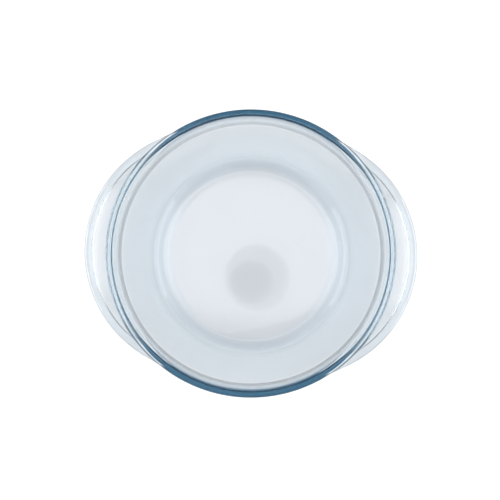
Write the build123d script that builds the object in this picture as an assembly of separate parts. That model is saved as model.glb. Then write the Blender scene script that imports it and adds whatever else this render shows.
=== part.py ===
from build123d import *

import math
import os

# An open, round oven dish of clear pressed glass with two handles.
# Sizes are in millimetres.  The glass is one pressing, so its regions are built as six solids
# that meet face to face: the base, the foot ring, the side wall, the rim and two handles.
# Frame: +Z is up, and the origin is on the dish's axis in the plane that the foot stands on.
# +X runs through the right handle.

# Bowl
HEIGHT = 85.0
FLOOR_THICKNESS = 5.2
FLOOR_CORNER_RADIUS = 80.0      # where the lines of the floor and the inner wall would meet
FLOOR_FILLET = 12.0

# Each side of the wall has one bend, and leans outwards more below it
INNER_BEND_RADIUS = 104.4
INNER_BEND_Z = 62.0
OUTER_BEND_RADIUS = 110.1
OUTER_BEND_Z = 58.0
BEND_ROUNDING = 12.0

# Foot: a flat ring, with the middle of the underside raised a little
OUTER_CORNER_RADIUS = 85.4      # where the outer wall's line would meet the ground
FOOT_OUTER_RADIUS = 77.0
FOOT_WIDTH = 5.5
FOOT_RECESS = 0.8
RECESS_SLOPE = 3.0              # run of the slope from the foot up to the raised middle
BASE_RADIUS = 68.0              # the base's region is flat on both sides, out to the foot ring's

# Rim: flat on top, with an upright band round its outside
RIM_RADIUS = 115.0
RIM_THICKNESS = 5.2
RIM_BAND = 2.5
RIM_OUTER_ROUNDING = 0.9
RIM_INNER_ROUNDING = 1.5
BAND_ROUNDING = 1.5
RIM_SPLIT_Z = 69.0              # where the rim's region meets the side wall's

# Handles: each is a crescent inside an arc centred off the dish's axis, with a lip turned down
HANDLE_REACH = 133.8            # from the dish's axis to the tip of a handle
HANDLE_ARC_RADIUS = 96.7
HANDLE_TOP = 82.5
HANDLE_DROOP = 1.5              # the top falls this much towards the lip
HANDLE_THICKNESS = 5.5
GUSSET_REACH = 8.5              # a gentle slope thickens the root this far out from the wall
GUSSET_DROP = 6.0               # and this far down it
LIP_THICKNESS = 6.8
LIP_HEIGHT = 9.0
LIP_OUTER_ROUNDING = 4.0
LIP_EDGE_ROUNDING = 2.4
LIP_INNER_FILLET = 3.0

FLOOR_Z = FOOT_RECESS + FLOOR_THICKNESS
BAND_BOTTOM_Z = HEIGHT - RIM_BAND
RIM_INNER_RADIUS = RIM_RADIUS - RIM_THICKNESS
HANDLE_CENTRE = HANDLE_REACH - HANDLE_ARC_RADIUS


def rounded_section(corners):
    """A closed face in the XZ plane from corners given as (radius, height, rounding)."""
    points = [(r, z) for r, z, rounding in corners]
    roundings = [rounding for r, z, rounding in corners]
    with BuildSketch(Plane.XZ) as section:
        with BuildLine():
            FilletPolyline(points, radius=roundings, close=True)
        make_face()
    return section.sketch


def outer_corners():
    """Corners of the outer side, from the edge of the foot up to the top of the rim."""
    wall_angle = math.atan2(OUTER_BEND_Z, OUTER_BEND_RADIUS - OUTER_CORNER_RADIUS)
    corner_tangent = OUTER_CORNER_RADIUS - FOOT_OUTER_RADIUS
    return [
        (OUTER_CORNER_RADIUS, 0, corner_tangent / math.tan(wall_angle / 2)),
        (OUTER_BEND_RADIUS, OUTER_BEND_Z, BEND_ROUNDING),
        (RIM_RADIUS, BAND_BOTTOM_Z, BAND_ROUNDING),
        (RIM_RADIUS, HEIGHT, RIM_OUTER_ROUNDING),
    ]


def bowl_section():
    """Half of the bowl's section, from the axis out to the rim."""
    foot_inner = FOOT_OUTER_RADIUS - FOOT_WIDTH
    return rounded_section([
        (0, FOOT_RECESS, 0),
        (foot_inner - RECESS_SLOPE, FOOT_RECESS, RECESS_SLOPE),
        (foot_inner, 0, 0),
        *outer_corners(),
        (RIM_INNER_RADIUS, HEIGHT, RIM_INNER_ROUNDING),
        (INNER_BEND_RADIUS, INNER_BEND_Z, BEND_ROUNDING),
        (FLOOR_CORNER_RADIUS, FLOOR_Z, FLOOR_FILLET),
        (0, FLOOR_Z, 0),
    ])


def bowl_envelope():
    """The space within the bowl's outer side, as if the bowl were solid."""
    section = rounded_section([(0, 0, 0), *outer_corners(), (0, HEIGHT, 0)])
    return revolve(section, Axis.Z)


def upright_cylinder(radius, bottom, top):
    """A solid cylinder on the dish's axis between two heights."""
    return Pos(0, 0, bottom) * Cylinder(
        radius, top - bottom, align=(Align.CENTER, Align.CENTER, Align.MIN)
    )


def bowl_regions():
    """The bowl as its four regions: the base, the foot ring, the side wall and the rim."""
    bowl = revolve(bowl_section(), Axis.Z)
    base_region = upright_cylinder(BASE_RADIUS, -1, RIM_SPLIT_Z)
    bottom_region = upright_cylinder(FOOT_OUTER_RADIUS, -1, RIM_SPLIT_Z)
    rim_region = upright_cylinder(2 * RIM_RADIUS, RIM_SPLIT_Z, HEIGHT + 1)
    return {
        "base": bowl & base_region,
        "foot_ring": bowl & (bottom_region - base_region),
        "side_wall": bowl - bottom_region - rim_region,
        "rim": bowl & rim_region,
    }


def handle_section():
    """Section of a handle, with radii from the axis of the handle's own arc."""
    root = HANDLE_CENTRE
    lip_top = HANDLE_TOP - HANDLE_DROOP
    lip_inner = HANDLE_ARC_RADIUS - LIP_THICKNESS
    return rounded_section([
        (root, HANDLE_TOP, 0),
        (HANDLE_ARC_RADIUS, lip_top, LIP_OUTER_ROUNDING),
        (HANDLE_ARC_RADIUS, lip_top - LIP_HEIGHT, LIP_EDGE_ROUNDING),
        (lip_inner, lip_top - LIP_HEIGHT, LIP_EDGE_ROUNDING),
        (lip_inner, lip_top - HANDLE_THICKNESS, LIP_INNER_FILLET),
        (root, HANDLE_TOP - HANDLE_THICKNESS, 0),
    ])


def wall_radius(z):
    """Radius of the outer wall at height z, between its bend and the upright band."""
    share = (z - OUTER_BEND_Z) / (BAND_BOTTOM_Z - OUTER_BEND_Z)
    return OUTER_BEND_RADIUS + share * (RIM_RADIUS - OUTER_BEND_RADIUS)


def root_gusset():
    """The sloping ring under a handle's root, as far round as the groove behind the lip reaches."""
    top = HANDLE_TOP - HANDLE_THICKNESS
    bottom = top - GUSSET_DROP
    ring = revolve(rounded_section([
        (INNER_BEND_RADIUS, top, 0),
        (wall_radius(top) + GUSSET_REACH, top, 0),
        (wall_radius(bottom), bottom, 0),
        (INNER_BEND_RADIUS, bottom, 0),
    ]), Axis.Z)
    groove_radius = HANDLE_ARC_RADIUS - LIP_THICKNESS
    return ring & Pos(HANDLE_CENTRE, 0, 0) * upright_cylinder(groove_radius, bottom, top)


def right_handle():
    """The part of the handle's disc and gusset that stands out beyond the bowl."""
    disc = Pos(HANDLE_CENTRE, 0, 0) * revolve(handle_section(), Axis.Z)
    return disc + root_gusset() - bowl_envelope()


def main():
    nodes = bowl_regions()
    nodes["right_handle"] = right_handle()
    nodes["left_handle"] = mirror(nodes["right_handle"], about=Plane.YZ)
    os.makedirs("parts", exist_ok=True)
    for name, shape in nodes.items():
        export_step(shape, f"parts/{name}.step")


main()
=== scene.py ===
import math

import bmesh
import bpy
import numpy as np
from mathutils import Matrix, Vector


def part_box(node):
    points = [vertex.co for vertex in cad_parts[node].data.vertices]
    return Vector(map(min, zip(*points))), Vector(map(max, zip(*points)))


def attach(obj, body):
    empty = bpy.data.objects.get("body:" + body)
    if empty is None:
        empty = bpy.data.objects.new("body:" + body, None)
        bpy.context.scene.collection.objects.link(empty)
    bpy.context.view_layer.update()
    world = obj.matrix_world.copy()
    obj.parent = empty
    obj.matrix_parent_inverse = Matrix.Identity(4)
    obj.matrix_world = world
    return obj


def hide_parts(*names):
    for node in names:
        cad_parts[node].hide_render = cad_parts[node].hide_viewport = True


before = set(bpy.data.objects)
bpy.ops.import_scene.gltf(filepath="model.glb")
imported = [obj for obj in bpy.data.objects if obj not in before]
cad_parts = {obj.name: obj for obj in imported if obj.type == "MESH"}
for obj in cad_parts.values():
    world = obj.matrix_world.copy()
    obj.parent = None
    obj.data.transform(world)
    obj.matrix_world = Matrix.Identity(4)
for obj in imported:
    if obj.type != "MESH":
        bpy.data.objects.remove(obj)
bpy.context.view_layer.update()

MM = 0.001

# ---- Sizes of the dish, in metres -------------------------------------------------------------

# The overall sizes come from the frame
RIM_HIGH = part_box("rim")[1]
HANDLE_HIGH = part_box("right_handle")[1]
HEIGHT = RIM_HIGH[2]
RIM_RADIUS = RIM_HIGH[0]
HANDLE_REACH = HANDLE_HIGH[0]

# Rim: flat on top, with an upright band round its outside
RIM_THICKNESS = 5.2 * MM
RIM_BAND = 2.5 * MM                  # height of the upright band
RIM_OUTER_ROUNDING = 0.9 * MM
RIM_INNER_ROUNDING = 1.5 * MM
RIM_INNER_RADIUS = RIM_RADIUS - RIM_THICKNESS
CROWN_RADIUS = RIM_RADIUS - 0.5 * RIM_THICKNESS

# Wall: each side has one bend, and leans outwards more below it
INNER_BEND_RADIUS = 104.4 * MM
INNER_BEND_Z = 62 * MM
OUTER_BEND_RADIUS = 110.1 * MM
OUTER_BEND_Z = 58 * MM
WALL_BEND_ROUNDING = 12 * MM
WALL_FOOT_RADIUS = 85.4 * MM         # where the outer wall's line would meet the ground

# Floor and foot
FLOOR_CORNER_RADIUS = 80 * MM        # where the lines of the floor and the inner wall would meet
FLOOR_FILLET = 12 * MM
FLOOR_THICKNESS = 5.2 * MM
FOOT_OUTER_RADIUS = 77 * MM
FOOT_WIDTH = 5.5 * MM
FOOT_EDGE_ROUNDING = 0.5 * MM
FOOT_RECESS = 0.8 * MM
RECESS_SLOPE = 3 * MM                # run of the slope from the foot up to the raised middle
RECESS_ROUNDING = 3 * MM
FLOOR_Z = FOOT_RECESS + FLOOR_THICKNESS

# Handles: crescents inside an arc centred off the dish's axis, with a lip turned down
HANDLE_ARC_RADIUS = 96.7 * MM
HANDLE_DROP = 2.5 * MM               # from the top of the rim to the top of a handle
HANDLE_DROOP = 1.5 * MM              # the top falls this much towards the lip
HANDLE_THICKNESS = 5.5 * MM
HANDLE_ROOT_ROUNDING = 1.5 * MM
HANDLE_FOOT_Z = 60.5 * MM            # below this the wall has no trace of a handle
HANDLE_BLEND = 2.8 * MM              # how softly a handle's outline leaves the rim's circle
HANDLE_TOP = HEIGHT - HANDLE_DROP
HANDLE_CENTRE = HANDLE_REACH - HANDLE_ARC_RADIUS
LIP_THICKNESS = 6.8 * MM
LIP_HEIGHT = 9.0 * MM
LIP_OUTER_ROUNDING = 4.0 * MM
LIP_EDGE_ROUNDING = 1.5 * MM
LIP_FULL_REACH = 10 * MM             # the lip has its full height where a handle reaches this far
GROOVE_FULL_WIDTH = 11 * MM          # the groove behind the lip is full where it is this wide
GUSSET_REACH = 8.5 * MM              # a gentle slope thickens a handle's root this far out
GUSSET_DROP = 6.0 * MM               # and this far down the wall
GUSSET_SHARE = 0.8                   # it takes up no more of the groove's width than this
GUSSET_ROUNDING = 3.0 * MM

# Mesh
STEPS_AROUND = 512
OUTSIDE_POINTS = 150                 # along the section's line round a handle
MERGE_DISTANCE = 0.001 * MM          # points closer than this become one
ANGLES = np.linspace(0, 2 * math.pi, STEPS_AROUND, endpoint=False)

# ---- Glass ------------------------------------------------------------------------------------

GLASS_IOR = 1.474
GLASS_CLEARNESS = (0.85, 0.82, 0.826, 1)
GLASS_TINT = (0.10, 0.473, 0.633, 1)  # what the glass absorbs least
GLASS_TINT_DENSITY = 30
WAVE_SPACING = 24 * MM               # the skin's faint waves
WAVE_DEPTH = 0.012 * MM
SMEAR_SPACING = 60 * MM              # patches of slightly different gloss
SMEAR_ROUGHNESS = 0.03
NOISE_LOW = 0.3                      # the noise texture seldom leaves the range between these
NOISE_HIGH = 0.7

# ---- Camera, light and floor, in metres -------------------------------------------------------

CAMERA_DISTANCE = 1.0                # from the plane of the rim
CAMERA_OFFSET = (3.3 * MM, -22.0 * MM)
CAMERA_AIM = (-0.8 * MM, 2.4 * MM)
CAMERA_Z = HEIGHT + CAMERA_DISTANCE
DISH_TURN = math.radians(-3)         # how the handles' line is turned in the view
LENS_MM = 90.4
SENSOR_MM = 36

# Discs that stand for the camera where the base mirrors it
LENS_RADIUS = 37.5 * MM
LENS_SHIFT = (-4.5 * MM, -2.5 * MM)
LENS_ABOVE = 2 * MM                  # above the camera's own place
BODY_RADIUS = 57 * MM
BODY_SHIFT = (5 * MM, 6 * MM)
BODY_ABOVE = 20 * MM
BODY_GLOW = 0.85

# A long panel over the camera
PANEL_HEIGHT = CAMERA_Z + 60 * MM
PANEL_SHIFT = 50 * MM                # towards +Y
PANEL_HALF_LENGTH = 0.55
PANEL_HALF_WIDTH = 0.21
PANEL_EDGE = 0.09                    # over which its light fades at the border
PANEL_LIGHT = 2.2
PANEL_MIDDLE = 0.95                  # its light at the middle, as a share
PANEL_MIDDLE_INSIDE = 0.04           # the middle's share holds out to here
PANEL_MIDDLE_OUTSIDE = 0.13          # and the full light starts here

# A panel on each side
SIDE_DISTANCE = 1.4
SIDE_HALF_WIDTH = 0.9
SIDE_HALF_HEIGHT = 0.33
SIDE_ABOVE_FLOOR = 20 * MM
SIDE_EDGE = 0.1
SIDE_LIGHT = 6.0

ROOM_LIGHT = 0.5
FLOOR_HALF_SIZE = 4.0
FLOOR_GAP = 0.1 * MM                 # keeps the floor's face clear of the foot's
FLOOR_WHITE = 0.8
FLOOR_GLOW = 0.44
FLOOR_ROUGHNESS = 0.12


# ---- The dish's shape -------------------------------------------------------------------------

def smooth_step(x):
    """0 below 0, 1 above 1, and a smooth rise between."""
    t = np.clip(x, 0, 1)
    return t * t * (3 - 2 * t)


def softly_above(value, limit, softness):
    """The larger of value and limit, with a soft change from one to the other."""
    over = value - limit
    blended = (over + softness)**2 / (4 * softness)
    return limit + np.where(over > softness, over, np.where(over < -softness, 0, blended))


def handle_arc(angle):
    """Distance from the dish's axis to a handle's outline at each angle around the dish."""
    along = HANDLE_CENTRE * np.abs(np.cos(angle))
    across = HANDLE_CENTRE * np.sin(angle)
    return along + np.sqrt(HANDLE_ARC_RADIUS**2 - across**2)


def rounded_line(corners, arc_steps=10, run_steps=4):
    """Points along a line through corners, each rounded by an exact arc.

    corners holds (radius, height, rounding), where each may be an array over the angles. A
    rounding takes up less than half of the shorter run beside it, and is smaller where that is
    short. The result has one row per angle, and in it one (radius, height) per point.
    """
    count = len(ANGLES)
    places = np.zeros((len(corners), count, 2))
    roundings = np.zeros((len(corners), count))
    for row, (radius, height, rounding) in enumerate(corners):
        places[row, :, 0] = radius
        places[row, :, 1] = height
        roundings[row] = rounding
    runs = np.linalg.norm(np.diff(places, axis=0), axis=2)
    points = [places[0]]
    for i in range(1, len(corners) - 1):
        before = (places[i - 1] - places[i]) / np.maximum(runs[i - 1], 1e-12)[:, None]
        after = (places[i + 1] - places[i]) / np.maximum(runs[i], 1e-12)[:, None]
        half_angle = 0.5 * np.arccos(np.clip(np.sum(before * after, axis=1), -1, 1))
        room = 0.499 * np.minimum(runs[i - 1], runs[i])
        tangent = np.minimum(roundings[i] / np.maximum(np.tan(half_angle), 1e-9), room)
        start = places[i] + before * tangent[:, None]
        end = places[i] + after * tangent[:, None]
        for step in range(1, run_steps):
            points.append(points[-1] + (start - points[-1]) / (run_steps - step + 1))
        weight = np.sin(half_angle)[:, None]
        for t in np.linspace(0, 1, arc_steps + 1):
            middle = 2 * t * (1 - t) * weight
            total = (1 - t)**2 + middle + t**2
            points.append(((1 - t)**2 * start + middle * places[i] + t**2 * end) / total)
    points.append(places[-1])
    return np.stack(points, axis=1)


def evenly_spaced(line, count):
    """The same lines with count points each, evenly spaced along them."""
    result = np.empty((len(line), count, 2))
    for row, points in enumerate(line):
        lengths = np.linalg.norm(np.diff(points, axis=0), axis=1)
        walked = np.concatenate(([0], np.cumsum(lengths)))
        wanted = np.linspace(0, walked[-1], count)
        for axis in (0, 1):
            result[row, :, axis] = np.interp(wanted, walked, points[:, axis])
    return result


def outer_wall_radius(z):
    """Radius of the outer wall at height z, below the upright band."""
    heights = [0, OUTER_BEND_Z, HEIGHT - RIM_BAND]
    return np.interp(z, heights, [WALL_FOOT_RADIUS, OUTER_BEND_RADIUS, RIM_RADIUS])


def inner_line():
    """The section's line from the middle of the floor up to the crown of the rim."""
    return rounded_line([
        (0, FLOOR_Z, 0),
        (FLOOR_CORNER_RADIUS, FLOOR_Z, FLOOR_FILLET),
        (INNER_BEND_RADIUS, INNER_BEND_Z, WALL_BEND_ROUNDING),
        (RIM_INNER_RADIUS, HEIGHT, RIM_INNER_ROUNDING),
        (CROWN_RADIUS, HEIGHT, 0),
    ])


def outer_line():
    """The section's line from the crown of the rim, round a handle, to the wall below it."""
    arc = handle_arc(ANGLES)
    share = smooth_step((arc - RIM_RADIUS) / LIP_FULL_REACH)
    tip = softly_above(arc, RIM_RADIUS, HANDLE_BLEND)
    tip_top = HANDLE_TOP - HANDLE_DROOP * share
    root_under = HANDLE_TOP - HANDLE_THICKNESS
    lip_bottom = root_under - (LIP_HEIGHT + HANDLE_DROOP - HANDLE_THICKNESS) * share
    lip_outside = softly_above(arc, outer_wall_radius(lip_bottom), HANDLE_BLEND)
    stand_out = lip_outside - outer_wall_radius(lip_bottom)
    lip_inside = lip_outside - np.minimum(stand_out, LIP_THICKNESS)
    groove = np.maximum(stand_out - LIP_THICKNESS, 0)
    ceiling = lip_bottom + (root_under - lip_bottom) * smooth_step(groove / GROOVE_FULL_WIDTH)
    reach = np.minimum(GUSSET_REACH, GUSSET_SHARE * groove)
    drop = reach * GUSSET_DROP / GUSSET_REACH
    line = rounded_line([
        (CROWN_RADIUS, HEIGHT, 0),
        (RIM_RADIUS, HEIGHT, RIM_OUTER_ROUNDING),
        (RIM_RADIUS, HANDLE_TOP, HANDLE_ROOT_ROUNDING),
        (tip, tip_top, LIP_OUTER_ROUNDING),
        (lip_outside, lip_bottom, LIP_EDGE_ROUNDING),
        (lip_inside, lip_bottom, LIP_EDGE_ROUNDING),
        (lip_inside, ceiling, LIP_EDGE_ROUNDING),
        (outer_wall_radius(ceiling) + reach, ceiling, GUSSET_ROUNDING),
        (outer_wall_radius(ceiling - drop), ceiling - drop, GUSSET_ROUNDING),
        (outer_wall_radius(HANDLE_FOOT_Z), HANDLE_FOOT_Z, 0),
    ])
    return evenly_spaced(line, OUTSIDE_POINTS)


def lower_line():
    """The section's line from below the handles down the wall to the middle of the underside."""
    wall_angle = math.atan2(OUTER_BEND_Z, OUTER_BEND_RADIUS - WALL_FOOT_RADIUS)
    corner_rounding = (WALL_FOOT_RADIUS - FOOT_OUTER_RADIUS) / math.tan(wall_angle / 2)
    foot_inner = FOOT_OUTER_RADIUS - FOOT_WIDTH
    return rounded_line([
        (outer_wall_radius(HANDLE_FOOT_Z), HANDLE_FOOT_Z, 0),
        (OUTER_BEND_RADIUS, OUTER_BEND_Z, WALL_BEND_ROUNDING),
        (WALL_FOOT_RADIUS, 0, corner_rounding),
        (foot_inner, 0, FOOT_EDGE_ROUNDING),
        (foot_inner - RECESS_SLOPE, FOOT_RECESS, RECESS_ROUNDING),
        (0, FOOT_RECESS, 0),
    ])


def dish_mesh():
    """One closed mesh of the whole dish, its section carried round the axis."""
    lines = [inner_line(), outer_line()[:, 1:], lower_line()[:, 1:]]
    section = np.concatenate(lines, axis=1)
    around, along = section.shape[:2]
    bm = bmesh.new()
    top_pole = bm.verts.new((0, 0, section[0, 0, 1]))
    under_pole = bm.verts.new((0, 0, section[0, -1, 1]))
    rings = []
    for angle, points in zip(ANGLES, section):
        x = math.cos(angle)
        y = math.sin(angle)
        rings.append([bm.verts.new((r * x, r * y, z)) for r, z in points[1:-1]])
    for i in range(around):
        here = rings[i]
        there = rings[(i + 1) % around]
        bm.faces.new((top_pole, here[0], there[0]))
        bm.faces.new((under_pole, there[-1], here[-1]))
        for k in range(along - 3):
            bm.faces.new((here[k], here[k + 1], there[k + 1], there[k]))
    bmesh.ops.remove_doubles(bm, verts=bm.verts, dist=MERGE_DISTANCE)
    for face in bm.faces:
        face.smooth = True
    mesh = bpy.data.meshes.new("dish_glass")
    bm.to_mesh(mesh)
    bm.free()
    return mesh


# ---- The glass --------------------------------------------------------------------------------

def noise_to(nodes, links, place, spacing, low, high):
    """A soft pattern with features about spacing apart, scaled to run from low to high."""
    noise = nodes.new("ShaderNodeTexNoise")
    noise.inputs["Scale"].default_value = 1 / spacing
    noise.inputs["Detail"].default_value = 2.0
    links.new(place, noise.inputs["Vector"])
    scaled = nodes.new("ShaderNodeMapRange")
    scaled.inputs["From Min"].default_value = NOISE_LOW
    scaled.inputs["From Max"].default_value = NOISE_HIGH
    scaled.inputs["To Min"].default_value = low
    scaled.inputs["To Max"].default_value = high
    links.new(noise.outputs[0], scaled.inputs["Value"])
    return scaled.outputs[0]


def glass_material():
    """Clear pressed glass: faintly wavy skin, and a blue tint that grows with depth."""
    material = bpy.data.materials.new("pressed_glass")
    material.use_nodes = True
    nodes = material.node_tree.nodes
    links = material.node_tree.links
    place = nodes.new("ShaderNodeTexCoord").outputs["Object"]
    glass = nodes["Principled BSDF"]
    glass.inputs["Base Color"].default_value = GLASS_CLEARNESS
    glass.inputs["IOR"].default_value = GLASS_IOR
    glass.inputs["Transmission Weight"].default_value = 1.0
    smear = noise_to(nodes, links, place, SMEAR_SPACING, 0.5 * SMEAR_ROUGHNESS, SMEAR_ROUGHNESS)
    links.new(smear, glass.inputs["Roughness"])
    depth = noise_to(nodes, links, place, WAVE_SPACING, 0.0, WAVE_DEPTH)
    waves = nodes.new("ShaderNodeBump")
    waves.inputs["Strength"].default_value = 1.0
    waves.inputs["Distance"].default_value = 1.0
    links.new(depth, waves.inputs["Height"])
    links.new(waves.outputs["Normal"], glass.inputs["Normal"])
    tint = nodes.new("ShaderNodeVolumeAbsorption")
    tint.inputs["Color"].default_value = GLASS_TINT
    tint.inputs["Density"].default_value = GLASS_TINT_DENSITY
    links.new(tint.outputs["Volume"], nodes["Material Output"].inputs["Volume"])
    return material


# ---- Stage, light and camera ------------------------------------------------------------------

def rectangle(half_x, half_y):
    """Corners of a rectangle."""
    return [(-half_x, -half_y), (half_x, -half_y), (half_x, half_y), (-half_x, half_y)]


def floor():
    """A plain pale floor that glows a little."""
    mesh = bpy.data.meshes.new("floor")
    corners = [(x, y, -FLOOR_GAP) for x, y in rectangle(FLOOR_HALF_SIZE, FLOOR_HALF_SIZE)]
    mesh.from_pydata(corners, [], [(0, 1, 2, 3)])
    piece = bpy.data.objects.new("floor", mesh)
    bpy.context.scene.collection.objects.link(piece)
    material = bpy.data.materials.new("pale_floor")
    material.use_nodes = True
    shader = material.node_tree.nodes["Principled BSDF"]
    shader.inputs["Base Color"].default_value = (FLOOR_WHITE, FLOOR_WHITE, FLOOR_WHITE, 1)
    shader.inputs["Roughness"].default_value = FLOOR_ROUGHNESS
    shader.inputs["Specular IOR Level"].default_value = 1.0
    shader.inputs["Emission Color"].default_value = (1, 1, 1, 1)
    shader.inputs["Emission Strength"].default_value = FLOOR_GLOW
    mesh.materials.append(material)


def surroundings():
    """Even, dim white light from all round."""
    world = bpy.data.worlds.new("studio")
    world.use_nodes = True
    background = world.node_tree.nodes["Background"]
    background.inputs["Color"].default_value = (1, 1, 1, 1)
    background.inputs["Strength"].default_value = ROOM_LIGHT
    bpy.context.scene.world = world


def ramp(nodes, links, value, low, high, at_low, at_high):
    """A smooth change from at_low to at_high while the size of value goes from low to high."""
    size = nodes.new("ShaderNodeMath")
    size.operation = "ABSOLUTE"
    links.new(value, size.inputs[0])
    change = nodes.new("ShaderNodeMapRange")
    change.interpolation_type = "SMOOTHSTEP"
    change.inputs["From Min"].default_value = low
    change.inputs["From Max"].default_value = high
    change.inputs["To Min"].default_value = at_low
    change.inputs["To Max"].default_value = at_high
    links.new(size.outputs[0], change.inputs["Value"])
    return change.outputs[0]


def product(nodes, links, first, second):
    """First times second."""
    result = nodes.new("ShaderNodeMath")
    result.operation = "MULTIPLY"
    links.new(first, result.inputs[0])
    links.new(second, result.inputs[1])
    return result.outputs[0]


def studio_card(name, outline, place, facing, material):
    """A flat card that lights the dish or is mirrored in it, and that the camera can't see."""
    mesh = bpy.data.meshes.new(name)
    mesh.from_pydata([(x, y, 0) for x, y in outline], [], [range(len(outline))])
    mesh.materials.append(material)
    card = bpy.data.objects.new(name, mesh)
    card.location = place
    card.rotation_euler = Vector(facing).to_track_quat("Z", "Y").to_euler()
    card.visible_camera = False
    bpy.context.scene.collection.objects.link(card)


def disc(radius):
    """Points round a disc."""
    count = 64
    turns = [2 * math.pi * k / count for k in range(count)]
    return [(radius * math.cos(t), radius * math.sin(t)) for t in turns]


def soft_glow(name, half_x, half_y, edge, middle, radiance):
    """A white glow that fades out over edge at a card's border.

    middle is the share of its radiance that is left around the middle of the card's length.
    """
    material = bpy.data.materials.new(name)
    material.use_nodes = True
    nodes = material.node_tree.nodes
    links = material.node_tree.links
    nodes.remove(nodes["Principled BSDF"])
    place = nodes.new("ShaderNodeTexCoord")
    split = nodes.new("ShaderNodeSeparateXYZ")
    links.new(place.outputs["Object"], split.inputs["Vector"])
    along = ramp(nodes, links, split.outputs["X"], half_x - edge, half_x, 1, 0)
    across = ramp(nodes, links, split.outputs["Y"], half_y - edge, half_y, 1, 0)
    centre = ramp(
        nodes, links, split.outputs["X"],
        PANEL_MIDDLE_INSIDE, PANEL_MIDDLE_OUTSIDE, middle * radiance, radiance,
    )
    strength = product(nodes, links, product(nodes, links, along, across), centre)
    glow = nodes.new("ShaderNodeEmission")
    links.new(strength, glow.inputs["Strength"])
    links.new(glow.outputs[0], nodes["Material Output"].inputs["Surface"])
    return material


def even_glow(name, radiance):
    """An even white glow from a card that reflects almost nothing."""
    material = bpy.data.materials.new(name)
    material.use_nodes = True
    shader = material.node_tree.nodes["Principled BSDF"]
    shader.inputs["Base Color"].default_value = (0.01, 0.01, 0.01, 1)
    shader.inputs["Specular IOR Level"].default_value = 0.0
    shader.inputs["Emission Color"].default_value = (1, 1, 1, 1)
    shader.inputs["Emission Strength"].default_value = radiance
    return material


def lights():
    """A long soft light over the camera, and one on each side of the dish."""
    overhead = soft_glow(
        "overhead_glow", PANEL_HALF_LENGTH, PANEL_HALF_WIDTH, PANEL_EDGE, PANEL_MIDDLE, PANEL_LIGHT
    )
    outline = rectangle(PANEL_HALF_LENGTH, PANEL_HALF_WIDTH)
    studio_card("overhead_panel", outline, (0, PANEL_SHIFT, PANEL_HEIGHT), (0, 0, -1), overhead)
    beside = soft_glow("side_glow", SIDE_HALF_WIDTH, SIDE_HALF_HEIGHT, SIDE_EDGE, 1, SIDE_LIGHT)
    outline = rectangle(SIDE_HALF_WIDTH, SIDE_HALF_HEIGHT)
    for name, side in (("left_panel", -1), ("right_panel", 1)):
        place = (side * SIDE_DISTANCE, 0, SIDE_HALF_HEIGHT + SIDE_ABOVE_FLOOR)
        studio_card(name, outline, place, (-side, 0, 0), beside)


def mirrored_camera():
    """The dark front of the camera and its dim body, as the base of the dish mirrors them."""
    x, y = CAMERA_OFFSET
    lens_place = (x + LENS_SHIFT[0], y + LENS_SHIFT[1], CAMERA_Z + LENS_ABOVE)
    studio_card("lens", disc(LENS_RADIUS), lens_place, (0, 0, -1), even_glow("lens_black", 0.0))
    body_place = (x + BODY_SHIFT[0], y + BODY_SHIFT[1], CAMERA_Z + BODY_ABOVE)
    grey = even_glow("body_grey", BODY_GLOW)
    studio_card("body", disc(BODY_RADIUS), body_place, (0, 0, -1), grey)


def camera():
    """A camera straight above the dish, a little towards -Y, aimed near the dish's middle."""
    data = bpy.data.cameras.new("camera")
    data.lens = LENS_MM
    data.sensor_width = SENSOR_MM
    piece = bpy.data.objects.new("camera", data)
    place = Vector((*CAMERA_OFFSET, CAMERA_Z))
    aim = Vector((*CAMERA_AIM, HEIGHT))
    up = Vector((math.sin(DISH_TURN), math.cos(DISH_TURN), 0))
    back = (place - aim).normalized()
    right = up.cross(back).normalized()
    up = back.cross(right)
    turn = Matrix((right, up, back)).transposed()
    piece.matrix_world = Matrix.Translation(place) @ turn.to_4x4()
    bpy.context.scene.collection.objects.link(piece)
    bpy.context.scene.camera = piece


# ---- The scene --------------------------------------------------------------------------------

dish = bpy.data.objects.new("dish_glass", dish_mesh())
dish.data.materials.append(glass_material())
bpy.context.scene.collection.objects.link(dish)
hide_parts("base", "foot_ring", "side_wall", "rim", "right_handle", "left_handle")
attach(dish, "root")

floor()
surroundings()
lights()
mirrored_camera()
camera()

scene = bpy.context.scene
scene.view_settings.view_transform = "Standard"
scene.cycles.max_bounces = 32
scene.cycles.transmission_bounces = 32
scene.cycles.glossy_bounces = 16
scene.cycles.blur_glossy = 0
